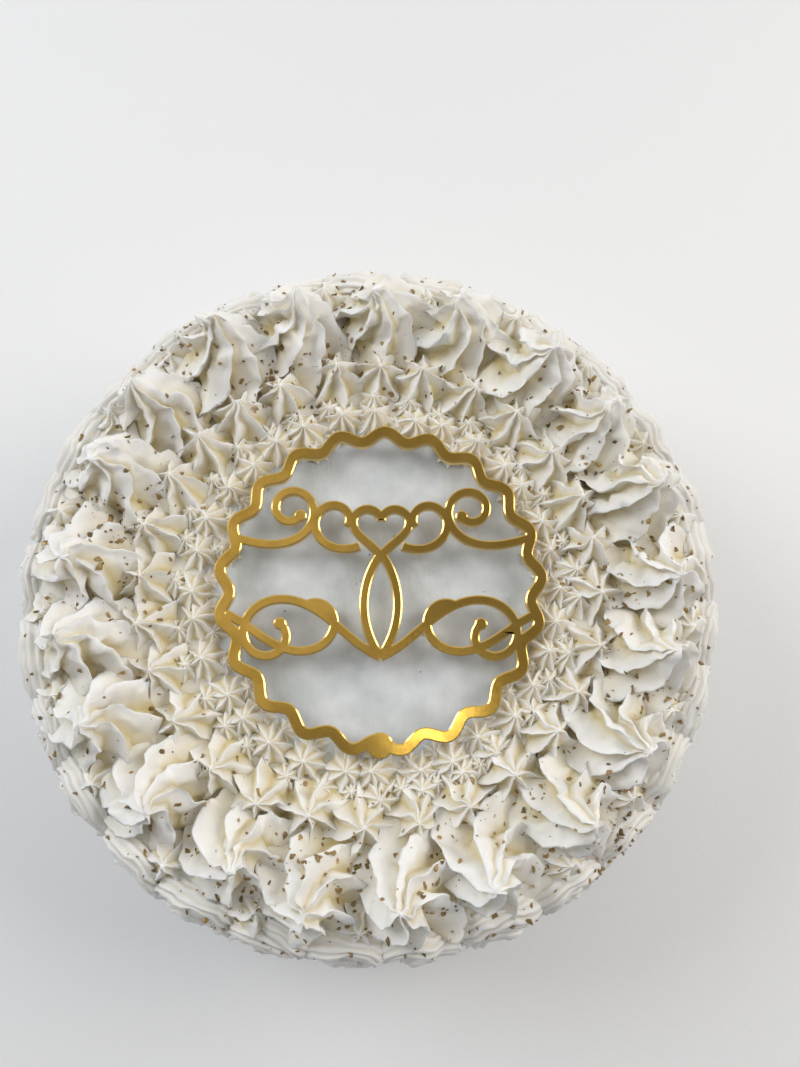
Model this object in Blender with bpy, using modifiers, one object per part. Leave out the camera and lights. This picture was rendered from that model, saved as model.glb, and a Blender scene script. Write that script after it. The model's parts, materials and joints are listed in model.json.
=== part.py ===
"""Rosette cake: a round iced cake with piped swirls and stars, and a gold ring topper on it.

Units are metres, +Z is up. The origin is the middle of the flat underside of the cake.
"""

import math
import random
from dataclasses import dataclass

import bmesh
import bpy
from mathutils import Matrix, Vector
from mathutils.bvhtree import BVHTree

# Driving dimensions of the cake
CAKE_RADIUS = 0.1120
CAKE_HEIGHT = 0.086
EDGE_ROUND = 0.006
CAKE_SIDES = 72
SUNK = 0.0015
FOOT = 0.003

# Rings of piping on the top: how many, on what radius, the angle of the first, the angle between them
LARGE_COUNT, LARGE_RING, LARGE_START = 21, 0.0945, 3.0
MEDIUM_COUNT, MEDIUM_RING, MEDIUM_START = 28, 0.0760, 11.0
SMALL_COUNT, SMALL_RING, SMALL_START = 32, 0.0612, 0.0
FILLER_COUNT, FILLER_RING, FILLER_START, FILLER_STEP = 9, 0.0690, -86.0, 11.5
SMALL_CENTRE = (0.0018, -0.0008)
RIM_COUNT, RIM_RING, RIM_START = 21, 0.1068, 11.6
LARGE_SPREAD, MEDIUM_SPREAD, SMALL_SPREAD = 1.6, 1.4, 2.2

# How far the piping wanders: off its ring, in size, in the length and the way of its lean, in depth
OFF_RING = 0.0012
SMALLEST, LARGEST = 0.94, 1.05
LEAN_LEAST, LEAN_MOST, LEAN_ASIDE = 0.7, 1.25, 25
SUNK_LEAST, SUNK_MOST = 0.8, 1.2

# Rosettes round the side
SIDE_ROWS, SIDE_COUNT, SIDE_START = 3, 29, -6.8
SIDE_WIDTH, SIDE_DEPTH = 0.0320, 0.0145
SIDE_FIRST_ROW, SIDE_ROW_STEP = 0.0171, 0.0286
SIDE_TOP_LEAN, SIDE_TOP_IN, SIDE_TOP_SIZE = 14.0, 0.0022, 1.06
SIDE_BACK, SIDE_RINGS, SIDE_RING_STEP, SIDE_SIDES = 0.86, 6, 0.16, 14
SIDE_PITCH, SIDE_RIDGE, SIDE_ROUND = 0.42, 0.13, 0.45
SIDE_RISE, SIDE_ASIDE, SIDE_SMALLEST, SIDE_LARGEST = 0.0006, 0.8, 0.98, 1.04

# Gold flakes that are large enough to have a solid
FLAKE_COUNT, FLAKE_SIDES = 40, 5
FLAKE_LENGTH, FLAKE_THICKNESS = 0.0030, 0.0008
FLAKE_SLIM, FLAKE_LEAST, FLAKE_MOST, FLAKE_TIP = 0.65, 0.7, 1.1, 0.35
FLAKE_INNER, FLAKE_OUTER = 0.064, 0.112

# Gold topper: a wavy ring that holds a flourish of scrolls
TOPPER_CENTRE = (0.0034, -0.0007)
TOPPER_LIFT = 0.0062
TOPPER_THICKNESS = 0.0025
RING_RADIUS, RING_WAVE, RING_WAVES, RING_BAND, RING_TURN = 0.0522, 0.0018, 21, 0.0039, 3.0
WAVE_STEPS = 5
STROKE_BAND, STROKE_STEP = 0.0030, 0.0034
KNOB_RADIUS, KNOB_SIDES, KNOB_TURN = 0.0021, 10, 0.3
HEART_WIDTH, HEART_HEIGHT_AT, HEART_STEPS = 0.019, 0.019, 12
HEART_SPAN = 32
PAD_RADIUS = 0.0042
REST_COUNT, REST_RING, REST_START = 7, 0.0545, 12.0
GAP = 0.0003
SAME_POINT = 0.00001

# The icing is joined, smoothed to one skin and thinned to this many triangles
SKIN_GRAIN = 0.0010
TRIANGLE_TARGET = 10100
SEED = 8

ICING_COLOUR, ICING_ROUGHNESS = (0.89, 0.865, 0.79, 1.0), 0.55
GOLD_COLOUR, GOLD_ROUGHNESS, GOLD_METALLIC = (0.62, 0.37, 0.07, 1.0), 0.3, 0.8


@dataclass(frozen=True)
class Kiss:
    """One kind of piped star: its size, its ridges and how it narrows to a peak."""

    width: float
    height: float
    ridges: int
    valley: float
    twist: float
    lean: float
    profile: tuple


@dataclass(frozen=True)
class Scroll:
    """The middle line of one stroke: where it starts and how its bend changes along it."""

    start: tuple
    heading: float
    length: float
    first_bend: float
    last_bend: float
    knob: bool


LARGE = Kiss(0.0436, 0.0272, 6, 0.62, 84.0, 0.0070,
             ((0.0, 0.90), (0.20, 1.0), (0.44, 0.80), (0.70, 0.49), (0.88, 0.22)))
MEDIUM = Kiss(0.0248, 0.0140, 7, 0.54, 16.0, 0.0008,
              ((0.0, 1.0), (0.32, 0.90), (0.66, 0.50)))
SMALL = Kiss(0.0162, 0.0090, 7, 0.56, 12.0, 0.0,
             ((0.0, 1.0), (0.40, 0.78)))
RIM = Kiss(0.0195, 0.0105, 6, 0.60, 40.0, 0.0020,
           ((0.0, 1.0), (0.40, 0.78)))
REST = Kiss(0.0130, TOPPER_LIFT + SUNK - 2 * GAP, 6, 0.55, 12.0, 0.0,
            ((0.0, 1.0), (0.40, 0.78)))

# The right half of the flourish; bends are turns in radians per metre, and each stroke is mirrored
SCROLLS = (
    Scroll((0.0500, 0.0160), 195.0, 0.066, 4.0, -232.0, True),
    Scroll((0.0072, 0.0132), -22.0, 0.041, 60.0, 215.0, False),
    Scroll((0.0000, -0.0240), 22.0, 0.084, 42.0, -185.0, True),
    Scroll((0.0510, -0.0100), 203.0, 0.058, 40.0, -185.0, False),
    Scroll((0.0000, 0.0106), -54.0, 0.037, -34.0, -34.0, False),
)


def clear_scene():
    """Empties the scene, whatever it held."""
    for obj in list(bpy.data.objects):
        bpy.data.objects.remove(obj, do_unlink=True)


def new_collection(name, helper=False):
    """Makes a collection in the scene; a helper one stays out of renders."""
    collection = bpy.data.collections.new(name)
    collection.hide_render = helper
    bpy.context.scene.collection.children.link(collection)
    return collection


def new_object(name, bm, collection):
    """Turns a finished bmesh into a named object."""
    bmesh.ops.triangulate(bm, faces=bm.faces)
    bmesh.ops.recalc_face_normals(bm, faces=bm.faces)
    mesh = bpy.data.meshes.new(name)
    bm.to_mesh(mesh)
    bm.free()
    obj = bpy.data.objects.new(name, mesh)
    collection.objects.link(obj)
    return obj


def dress(obj, name, colour, roughness, metallic):
    """Gives the object one plain material."""
    material = bpy.data.materials.new(name)
    material.use_nodes = True
    shader = material.node_tree.nodes["Principled BSDF"]
    shader.inputs["Base Color"].default_value = colour
    shader.inputs["Roughness"].default_value = roughness
    shader.inputs["Metallic"].default_value = metallic
    material.diffuse_color = colour
    obj.data.materials.clear()
    obj.data.materials.append(material)


def raise_face(bm, face, matrix):
    """Extrudes one face and moves the new one by the matrix. Only the lowest face stays behind."""
    made = bmesh.ops.extrude_face_region(bm, geom=[face])["geom"]
    top = next(item for item in made if isinstance(item, bmesh.types.BMFace))
    if any(len(edge.link_faces) > 2 for edge in face.edges):
        bmesh.ops.delete(bm, geom=[face], context="FACES_ONLY")
    bmesh.ops.transform(bm, matrix=matrix, verts=top.verts)
    return top


def star_face(bm, radius, ridges, valley):
    """A flat star: a circle whose every other corner is drawn in to a valley."""
    made = bmesh.ops.create_circle(bm, cap_ends=True, radius=radius, segments=2 * ridges)
    for corner in made["verts"][1::2]:
        corner.co *= valley
    return bm.faces[:][0]


def kiss_object(kind, name, collection, place, sunk, size, turn, lean):
    """A piped star on the cake top: a star section that turns and narrows up to a leaning peak."""
    bm = bmesh.new()
    radius, height = kind.width / 2 * size, kind.height * size
    face = star_face(bm, radius * kind.profile[0][1], kind.ridges, kind.valley)
    for (low, wide), (high, narrow) in zip(kind.profile, kind.profile[1:]):
        rise = Matrix.Translation((0, 0, height * (high - low)))
        twist = Matrix.Rotation(math.radians(kind.twist) * (high - low), 4, "Z")
        shrink = Matrix.Diagonal((narrow / wide, narrow / wide, 1, 1))
        face = raise_face(bm, face, rise @ twist @ shrink)
    peak = bmesh.ops.poke(bm, faces=[face])["verts"][0]
    peak.co.z = height
    bmesh.ops.rotate(bm, matrix=Matrix.Rotation(turn, 3, "Z"), verts=bm.verts)
    for vert in bm.verts:
        vert.co += lean * (vert.co.z / height) ** 2
    bmesh.ops.translate(bm, vec=place + Vector((0, 0, CAKE_HEIGHT - sunk)), verts=bm.verts)
    return new_object(name, bm, collection)


def on_ring(radius, degrees):
    """A point on a circle about the cake's middle."""
    angle = math.radians(degrees)
    return Vector((radius * math.cos(angle), radius * math.sin(angle), 0))


def ring_of_kisses(kind, name, ring, centre, spread, rng, collection):
    """Pipes a ring of stars, as uneven as a hand leaves them."""
    count, radius, start, step = ring
    for index in range(count):
        degrees = start + index * step + rng.uniform(-spread, spread)
        place = Vector((*centre, 0)) + on_ring(radius + rng.uniform(-OFF_RING, OFF_RING), degrees)
        size = rng.uniform(SMALLEST, LARGEST)
        reach = kind.lean * rng.uniform(LEAN_LEAST, LEAN_MOST)
        lean = on_ring(reach, degrees + rng.uniform(-LEAN_ASIDE, LEAN_ASIDE))
        turn = math.radians(rng.uniform(0, 360))
        sunk = SUNK * rng.uniform(SUNK_LEAST, SUNK_MOST)
        kiss_object(kind, f"{name}_{index}", collection, place, sunk, size, turn, lean)


def rests(rng, collection):
    """A few low stars under the topper's ring, which lies on them."""
    for index in range(REST_COUNT):
        place = Vector((*TOPPER_CENTRE, 0)) + on_ring(REST_RING, REST_START + index * 360 / REST_COUNT)
        turn = math.radians(rng.uniform(0, 360))
        sunk = SUNK * rng.uniform(1.0, SUNK_MOST)
        kiss_object(REST, f"rest_{index}", collection, place, sunk, 1.0, turn, Vector())


def rosette_object(name, collection, place, lean, size, turn):
    """A piped spiral on the side: a round dome whose surface winds in to the middle."""
    degrees, radius, height = place
    bm = bmesh.new()
    rim = SIDE_WIDTH / 2 * size
    bmesh.ops.create_circle(bm, cap_ends=True, radius=rim * SIDE_BACK, segments=SIDE_SIDES)
    base = bm.verts[:]
    face = bm.faces[:][0]
    scales = [SIDE_BACK] + [1.0 - SIDE_RING_STEP * ring for ring in range(SIDE_RINGS)]
    for outer, inner in zip(scales, scales[1:]):
        face = raise_face(bm, face, Matrix.Scale(inner / outer, 4))
    bmesh.ops.poke(bm, faces=[face])
    for vert in bm.verts:
        reach = vert.co.xy.length / rim
        angle = math.atan2(vert.co.y, vert.co.x)
        ridge = 1.0 - SIDE_RIDGE + SIDE_RIDGE * math.cos(2 * math.pi * reach / SIDE_PITCH - angle - turn)
        vert.co.z = SIDE_DEPTH * ridge * (1.0 - SIDE_ROUND * reach ** 3)
    for vert in base:
        vert.co.z = -SUNK
    outward = (
        Matrix.Rotation(math.radians(degrees), 4, "Z")
        @ Matrix.Translation((radius, 0, height))
        @ Matrix.Rotation(math.radians(90 - lean), 4, "Y")
    )
    bmesh.ops.transform(bm, matrix=outward, verts=bm.verts)
    return new_object(name, bm, collection)


def side_rosettes(rng, collection):
    """Pipes the rows of rosettes round the side, each half a step on. The topmost leans in to the cake."""
    step = 360 / SIDE_COUNT
    for row in range(SIDE_ROWS):
        topmost = row == SIDE_ROWS - 1
        lean = SIDE_TOP_LEAN * topmost
        radius = CAKE_RADIUS - SIDE_TOP_IN * topmost
        scale = SIDE_TOP_SIZE if topmost else 1.0
        for index in range(SIDE_COUNT):
            height = SIDE_FIRST_ROW + row * SIDE_ROW_STEP + rng.uniform(0, SIDE_RISE)
            degrees = SIDE_START + (index + 0.5 * (row % 2)) * step + rng.uniform(-SIDE_ASIDE, SIDE_ASIDE)
            size = scale * rng.uniform(SIDE_SMALLEST, SIDE_LARGEST)
            turn = rng.uniform(0, math.tau)
            rosette_object(f"side_{row}_{index}", collection, (degrees, radius, height), lean, size, turn)


def cake_body(collection):
    """The iced cake itself: a plain drum with a rounded upper edge. Its foot is trimmed off later."""
    depth = CAKE_HEIGHT + FOOT
    middle = (0, 0, CAKE_HEIGHT - depth / 2)
    bpy.ops.mesh.primitive_cylinder_add(
        vertices=CAKE_SIDES, radius=CAKE_RADIUS, depth=depth, location=middle
    )
    body = bpy.context.object
    body.name = "iced_cake"
    body.data.transform(body.matrix_world)
    body.matrix_world = Matrix.Identity(4)
    for owner in list(body.users_collection):
        owner.objects.unlink(body)
    collection.objects.link(body)
    bm = bmesh.new()
    bm.from_mesh(body.data)
    rim = [edge for edge in bm.edges if all(vert.co.z > CAKE_HEIGHT / 2 for vert in edge.verts)]
    bmesh.ops.bevel(bm, geom=rim, offset=EDGE_ROUND, segments=2, profile=0.5, affect="EDGES")
    bm.to_mesh(body.data)
    bm.free()
    return body


def apply_modifiers(obj):
    """Replaces the object's mesh by what its modifiers make of it."""
    bpy.context.view_layer.update()
    graph = bpy.context.evaluated_depsgraph_get()
    mesh = bpy.data.meshes.new_from_object(obj.evaluated_get(graph))
    obj.modifiers.clear()
    obj.data = mesh


def join_all(obj, helpers, solver):
    """One union with everything in the helper collection, which is then emptied."""
    join = obj.modifiers.new("join", "BOOLEAN")
    join.operation = "UNION"
    join.operand_type = "COLLECTION"
    join.collection = helpers
    join.solver = solver
    apply_modifiers(obj)
    for helper in list(helpers.objects):
        bpy.data.objects.remove(helper, do_unlink=True)
    bpy.data.collections.remove(helpers)


def thin_out(obj, triangles):
    """Draws one even skin over the joined icing, then keeps only as many triangles as it needs."""
    skin = obj.modifiers.new("skin", "REMESH")
    skin.mode = "VOXEL"
    skin.voxel_size = SKIN_GRAIN
    apply_modifiers(obj)
    total = sum(len(face.vertices) - 2 for face in obj.data.polygons)
    thin = obj.modifiers.new("thin", "DECIMATE")
    thin.ratio = triangles / total
    apply_modifiers(obj)


def trim_flat(obj):
    """Cuts the underside off level with the surface that the cake stands on."""
    bm = bmesh.new()
    bm.from_mesh(obj.data)
    everything = bm.verts[:] + bm.edges[:] + bm.faces[:]
    cut = bmesh.ops.bisect_plane(
        bm, geom=everything, plane_co=(0, 0, 0), plane_no=(0, 0, 1), clear_inner=True
    )
    edges = [item for item in cut["geom_cut"] if isinstance(item, bmesh.types.BMEdge)]
    bmesh.ops.holes_fill(bm, edges=edges)
    bmesh.ops.triangulate(bm, faces=bm.faces)
    bm.to_mesh(obj.data)
    bm.free()


def flake_object(name, collection, point, normal, rng):
    """One uneven gold flake, lying half sunk in the icing."""
    bm = bmesh.new()
    made = bmesh.ops.create_circle(bm, cap_ends=True, radius=FLAKE_LENGTH / 2, segments=FLAKE_SIDES)
    for corner in made["verts"]:
        corner.co *= rng.uniform(FLAKE_LEAST, FLAKE_MOST)
        corner.co.y *= FLAKE_SLIM
    lower = bm.faces[:][0]
    raise_face(bm, lower, Matrix.Translation((0, 0, FLAKE_THICKNESS)))
    bmesh.ops.translate(bm, vec=(0, 0, -FLAKE_THICKNESS / 2), verts=bm.verts)
    lie = normal.to_track_quat("Z", "Y").to_matrix() @ Matrix.Rotation(rng.uniform(0, math.tau), 3, "Z")
    tip = Matrix.Rotation(rng.uniform(-FLAKE_TIP, FLAKE_TIP), 3, "X")
    bmesh.ops.transform(bm, matrix=Matrix.Translation(point) @ (lie @ tip).to_4x4(), verts=bm.verts)
    return new_object(name, bm, collection)


def flakes(cake, rng, collection):
    """Scatters the large flakes evenly over the piped border."""
    bm = bmesh.new()
    bm.from_mesh(cake.data)
    surface = BVHTree.FromBMesh(bm)
    bm.free()
    turn = math.pi * (3 - math.sqrt(5))
    for index in range(FLAKE_COUNT):
        share = (index + 0.5) / FLAKE_COUNT
        radius = math.sqrt(FLAKE_INNER ** 2 + share * (FLAKE_OUTER ** 2 - FLAKE_INNER ** 2))
        above = on_ring(radius, math.degrees(index * turn)) + Vector((0, 0, 2 * CAKE_HEIGHT))
        point, normal, _face, _distance = surface.ray_cast(above, Vector((0, 0, -1)))
        flake_object(f"flake_{index}", collection, point, normal, rng)


def flat_object(name, loops, collection):
    """A flat piece of the topper's thickness, cut to closed outlines; an inner one is a hole."""
    curve = bpy.data.curves.new(name, "CURVE")
    curve.dimensions = "2D"
    curve.fill_mode = "BOTH"
    curve.extrude = TOPPER_THICKNESS / 2
    for loop in loops:
        spline = curve.splines.new("POLY")
        spline.points.add(len(loop) - 1)
        for point, (x, y) in zip(spline.points, loop):
            point.co = (x, y, 0, 1)
        spline.use_cyclic_u = True
    outline = bpy.data.objects.new(name + "_outline", curve)
    collection.objects.link(outline)
    bpy.context.view_layer.update()
    graph = bpy.context.evaluated_depsgraph_get()
    bm = bmesh.new()
    mesh = bpy.data.meshes.new_from_object(outline.evaluated_get(graph))
    bm.from_mesh(mesh)
    bpy.data.objects.remove(outline, do_unlink=True)
    bmesh.ops.remove_doubles(bm, verts=bm.verts, dist=SAME_POINT)
    centre = Vector((*TOPPER_CENTRE, CAKE_HEIGHT + TOPPER_LIFT + TOPPER_THICKNESS / 2))
    bmesh.ops.translate(bm, vec=centre, verts=bm.verts)
    return new_object(name, bm, collection)


def sides_of(line, width, closed):
    """The two edges of a band of this width that follows a middle line."""
    left, right = [], []
    count = len(line)
    for index, (x, y) in enumerate(line):
        before = line[(index - 1) % count] if closed or index else line[0]
        after = line[(index + 1) % count] if closed or index < count - 1 else line[-1]
        along = Vector((after[0] - before[0], after[1] - before[1])).normalized()
        left.append((x - along.y * width / 2, y + along.x * width / 2))
        right.append((x + along.y * width / 2, y - along.x * width / 2))
    return left, right


def ring_line():
    """The middle line of the wavy ring."""
    line = []
    for index in range(RING_WAVES * WAVE_STEPS):
        angle = math.tau * index / (RING_WAVES * WAVE_STEPS)
        crest = RING_WAVES * (angle - math.radians(RING_TURN))
        radius = RING_RADIUS + RING_WAVE * math.cos(crest)
        line.append((radius * math.cos(angle), radius * math.sin(angle)))
    return line


def heart_line():
    """The middle line of the heart's right half, from its cleft to its tip: a curve of four cosines."""
    scale = HEART_WIDTH / HEART_SPAN
    line = []
    for index in range(1, HEART_STEPS + 1):
        angle = math.pi * index / HEART_STEPS
        x = 16 * math.sin(angle) ** 3
        y = 13 * math.cos(angle) - 5 * math.cos(2 * angle) - 2 * math.cos(3 * angle) - math.cos(4 * angle)
        line.append((scale * x, HEART_HEIGHT_AT + scale * y))
    return line


def scroll_line(scroll):
    """The middle line of a stroke whose bend grows evenly along it."""
    steps = round(scroll.length / STROKE_STEP)
    stride = scroll.length / steps
    x, y = scroll.start
    heading = math.radians(scroll.heading)
    line = [(x, y)]
    for index in range(steps):
        share = (index + 0.5) / steps
        bend = scroll.first_bend + (scroll.last_bend - scroll.first_bend) * share
        heading += bend * stride / 2
        x += math.cos(heading) * stride
        y += math.sin(heading) * stride
        heading += bend * stride / 2
        line.append((x, y))
    return line


def disc_loop(centre, radius):
    """A round outline."""
    turns = [math.tau * (index + KNOB_TURN) / KNOB_SIDES for index in range(KNOB_SIDES)]
    return [(centre[0] + radius * math.cos(turn), centre[1] + radius * math.sin(turn)) for turn in turns]


def topper(collection):
    """The gold topper: the ring, the heart, the mirrored scrolls with their knobs, and the pad."""
    outer, inner = sides_of(ring_line(), RING_BAND, True)
    ring = flat_object("gold_topper", (outer, inner), collection)
    strokes = new_collection("strokes", helper=True)
    flat_object("pad", (disc_loop((0, -RING_RADIUS), PAD_RADIUS),), strokes)
    lines = [heart_line()] + [scroll_line(scroll) for scroll in SCROLLS]
    knobs = [False] + [scroll.knob for scroll in SCROLLS]
    for index, (line, knob) in enumerate(zip(lines, knobs)):
        for side in (1, -1):
            mirrored = [(side * x, y) for x, y in line]
            left, right = sides_of(mirrored, STROKE_BAND, False)
            flat_object(f"stroke_{index}_{side}", (left + right[::-1],), strokes)
            if knob:
                flat_object(f"knob_{index}_{side}", (disc_loop(mirrored[-1], KNOB_RADIUS),), strokes)
    join_all(ring, strokes, "MANIFOLD")
    dress(ring, "gold_acrylic", GOLD_COLOUR, GOLD_ROUGHNESS, GOLD_METALLIC)
    return ring


def iced_cake(collection):
    """The whole cake with its piping and its larger flakes, as one body."""
    rng = random.Random(SEED)
    cake = cake_body(collection)
    piping = new_collection("piping", helper=True)
    large = (LARGE_COUNT, LARGE_RING, LARGE_START, 360 / LARGE_COUNT)
    medium = (MEDIUM_COUNT, MEDIUM_RING, MEDIUM_START, 360 / MEDIUM_COUNT)
    small = (SMALL_COUNT, SMALL_RING, SMALL_START, 360 / SMALL_COUNT)
    filler = (FILLER_COUNT, FILLER_RING, FILLER_START, FILLER_STEP)
    rim = (RIM_COUNT, RIM_RING, RIM_START, 360 / RIM_COUNT)
    ring_of_kisses(LARGE, "large", large, (0, 0), LARGE_SPREAD, rng, piping)
    ring_of_kisses(MEDIUM, "medium", medium, (0, 0), MEDIUM_SPREAD, rng, piping)
    ring_of_kisses(SMALL, "small", small, SMALL_CENTRE, SMALL_SPREAD, rng, piping)
    ring_of_kisses(SMALL, "filler", filler, (0, 0), SMALL_SPREAD, rng, piping)
    rests(rng, piping)
    ring_of_kisses(RIM, "rim", rim, (0, 0), LARGE_SPREAD, rng, piping)
    side_rosettes(rng, piping)
    join_all(cake, piping, "MANIFOLD")
    thin_out(cake, TRIANGLE_TARGET)
    trim_flat(cake)
    scattered = new_collection("scattered_flakes", helper=True)
    flakes(cake, rng, scattered)
    join_all(cake, scattered, "MANIFOLD")
    cake.data.shade_smooth()
    dress(cake, "buttercream", ICING_COLOUR, ICING_ROUGHNESS, 0.0)
    return cake


def main():
    """Builds the cake and its topper in one collection."""
    clear_scene()
    part = new_collection("rosette_cake")
    iced_cake(part)
    topper(part)


if __name__ == "__main__":
    main()
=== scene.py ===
"""Rosette cake, dressed: piped buttercream, gold flakes and a gold ring topper over the fixed frame.

Units are metres and degrees, +Z is up, and the origin is the middle of the cake's flat underside.
Every uneven place is drawn from one seed, in the order in which the solids were made.
"""

from __future__ import annotations

import json
import logging
import math
import random
from contextlib import contextmanager
from dataclasses import dataclass, field, replace
from enum import Enum
from typing import Callable, Iterable, Iterator, Sequence

import bmesh
import bpy
from mathutils import Matrix, Vector
from mathutils.bvhtree import BVHTree

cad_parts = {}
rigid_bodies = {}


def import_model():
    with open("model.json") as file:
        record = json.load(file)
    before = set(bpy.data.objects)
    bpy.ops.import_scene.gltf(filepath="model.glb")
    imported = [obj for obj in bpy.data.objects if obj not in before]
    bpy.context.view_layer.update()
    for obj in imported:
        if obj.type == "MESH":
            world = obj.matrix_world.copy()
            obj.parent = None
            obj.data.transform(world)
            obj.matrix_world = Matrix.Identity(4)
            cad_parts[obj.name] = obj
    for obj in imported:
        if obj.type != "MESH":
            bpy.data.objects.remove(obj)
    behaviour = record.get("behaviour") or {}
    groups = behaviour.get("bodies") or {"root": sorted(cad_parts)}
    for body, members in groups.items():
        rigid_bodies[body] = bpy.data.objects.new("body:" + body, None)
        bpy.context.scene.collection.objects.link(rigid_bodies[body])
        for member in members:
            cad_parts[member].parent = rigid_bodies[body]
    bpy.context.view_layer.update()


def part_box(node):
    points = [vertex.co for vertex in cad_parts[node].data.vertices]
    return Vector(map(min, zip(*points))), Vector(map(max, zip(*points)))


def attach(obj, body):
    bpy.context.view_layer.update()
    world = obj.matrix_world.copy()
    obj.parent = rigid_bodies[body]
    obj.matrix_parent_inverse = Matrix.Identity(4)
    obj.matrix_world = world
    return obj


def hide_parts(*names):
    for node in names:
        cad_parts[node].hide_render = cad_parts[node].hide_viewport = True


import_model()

LOG = logging.getLogger("rosette_cake")

Item = bpy.types.Object
Material = bpy.types.Material
NodeTree = bpy.types.NodeTree
ShaderNode = bpy.types.Node
Pair = tuple[float, float]
Triple = tuple[float, float, float]

SEED = 8
FLAKE_SEED = 31

# The drum under the piping
CAKE_RADIUS = 0.1120
CAKE_HEIGHT = 0.086
SUNK = 0.0015

# The topper's level comes from its solid
TOPPER_LOW, TOPPER_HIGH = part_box("gold_topper")
TOPPER_CENTRE = (0.0034, -0.0007)
RING_RADIUS = 0.0522

# Where in the noise a patch of the second colour begins and is full
PATCH_FROM = 0.32
PATCH_TO = 0.68

# The attribute that marks how deep in a fold each vertex lies; it shapes the stars' cages and sets where the
# painted shade of the folds falls.
DEPTH_NAME = "valley"
TONE_NAME = "tone"

# How deep in a fold the icing between a crest and a valley lies, and how a star's foot opens into ridges
FLANK = 0.375
DEEPENING_LEVELS = 3
LEVEL_SLACK = 0.00001
DOUBLED = 0.00001
ORIGIN = (0, 0, 0)


class Slot(Enum):
    """The record's material slots."""

    BUTTERCREAM = "buttercream"
    GOLD = "gold_acrylic"


class Node(Enum):
    """The solids that the pieces stand for."""

    CAKE = "iced_cake"
    TOPPER = "gold_topper"


# Working in Blender as by hand


def deselect_all() -> None:
    """Leaves edit mode and lets go of every object."""
    if bpy.context.object and bpy.context.object.mode != "OBJECT":
        bpy.ops.object.mode_set(mode="OBJECT")
    bpy.ops.object.select_all(action="DESELECT")


def made(name: str) -> Item:
    """Names the object that Blender made last, and returns it."""
    bpy.context.object.name = name
    return bpy.context.object


def pick(obj: Item, others: Iterable[Item] = ()) -> None:
    """Selects these objects alone.

    Args:
        obj: the one that becomes active.
        others: what is selected with it.
    """
    deselect_all()
    for item in (obj, *others):
        item.select_set(True)
    bpy.context.view_layer.objects.active = obj


@contextmanager
def editing(obj: Item) -> Iterator[None]:
    """Edit mode on one object, in vertex selection.

    Args:
        obj: the mesh object to edit.
    """
    pick(obj)
    bpy.ops.object.mode_set(mode="EDIT")
    bpy.ops.mesh.select_mode(type="VERT")
    yield
    bpy.ops.object.mode_set(mode="OBJECT")


def select_where(obj: Item, test: Callable[[bmesh.types.BMVert, float], bool]) -> None:
    """Selects the vertices that pass a test, and what lies between them.

    Args:
        obj: the object in edit mode.
        test: says of a vertex and its depth in a fold whether it is selected.
    """
    mesh = bmesh.from_edit_mesh(obj.data)
    layer = mesh.verts.layers.float.get(DEPTH_NAME)
    for vert in mesh.verts:
        vert.select = False
    mesh.select_flush(False)
    for vert in mesh.verts:
        vert.select = test(vert, vert[layer] if layer else 0.0)
    mesh.select_flush(True)
    bmesh.update_edit_mesh(obj.data)


def select_everything() -> None:
    """Selects all of the mesh that is edited."""
    bpy.ops.mesh.select_all(action="SELECT")


def extrude(step: Sequence[float]) -> None:
    """Extrudes what is selected and moves it by a step."""
    bpy.ops.mesh.extrude_region_move(TRANSFORM_OT_translate={"value": tuple(step)})


def resize(factors: Sequence[float], centre: Sequence[float] = ORIGIN) -> None:
    """Scales what is selected about a centre."""
    bpy.ops.transform.resize(value=tuple(factors), center_override=tuple(centre))


def turn(degrees: float, centre: Sequence[float] = ORIGIN, axis: str = "Z") -> None:
    """Turns what is selected counterclockwise about an axis through a centre."""
    bpy.ops.transform.rotate(value=-math.radians(degrees), orient_axis=axis, center_override=tuple(centre))


def apply_all(obj: Item) -> None:
    """Applies every modifier of an object, in order."""
    pick(obj)
    for modifier in list(obj.modifiers):
        bpy.ops.object.modifier_apply(modifier=modifier.name)


def subdivide_smooth(obj: Item, levels: int) -> None:
    """Rounds a cage by subdivision.

    Args:
        obj: the cage.
        levels: how many times each face is divided.
    """
    smooth = obj.modifiers.new("smooth", "SUBSURF")
    smooth.levels = levels
    smooth.render_levels = levels
    apply_all(obj)


def displace(obj: Item, grain: float, reach: float, group: str = "", every_way: bool = False) -> None:
    """Pushes a surface in and out, as uneven as a hand leaves it.

    Args:
        obj: the piece, at its place.
        grain: size of one swelling.
        reach: from the lowest to the highest push.
        group: vertex group that limits it, or nothing.
        every_way: whether it pushes in every direction, and not only along the normals.
    """
    clouds = bpy.data.textures.new(f"clouds_{obj.name}", "CLOUDS")
    clouds.noise_scale = grain
    clouds.noise_depth = 1
    uneven = obj.modifiers.new("uneven", "DISPLACE")
    uneven.texture = clouds
    uneven.strength = reach
    uneven.mid_level = 0.5
    uneven.vertex_group = group
    if every_way:
        clouds.cloud_type = "COLOR"
        uneven.direction = "RGB_TO_XYZ"
    apply_all(obj)


def copy_of(master: Item, name: str, matrix: Matrix) -> Item:
    """Copies a master with a mesh of its own.

    Args:
        master: what is copied.
        name: the copy's name.
        matrix: where it goes, which is put into its mesh.

    Returns:
        The copy, at the origin.
    """
    copy = master.copy()
    copy.data = master.data.copy()
    copy.name = name
    copy.data.transform(matrix)
    bpy.context.scene.collection.objects.link(copy)
    return copy


def join_pieces(name: str, objects: Sequence[Item]) -> Item:
    """Joins objects into one piece.

    Args:
        name: the piece's name.
        objects: what is joined.

    Returns:
        The piece.
    """
    pick(objects[0], objects[1:])
    if len(objects) > 1:
        bpy.ops.object.join()
    piece = made(name)
    piece.data.name = name
    return piece


def settle(obj: Item) -> None:
    """Puts an object's place, turn and size into its mesh."""
    pick(obj)
    bpy.ops.object.transform_apply(location=True, rotation=True, scale=True)


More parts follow.
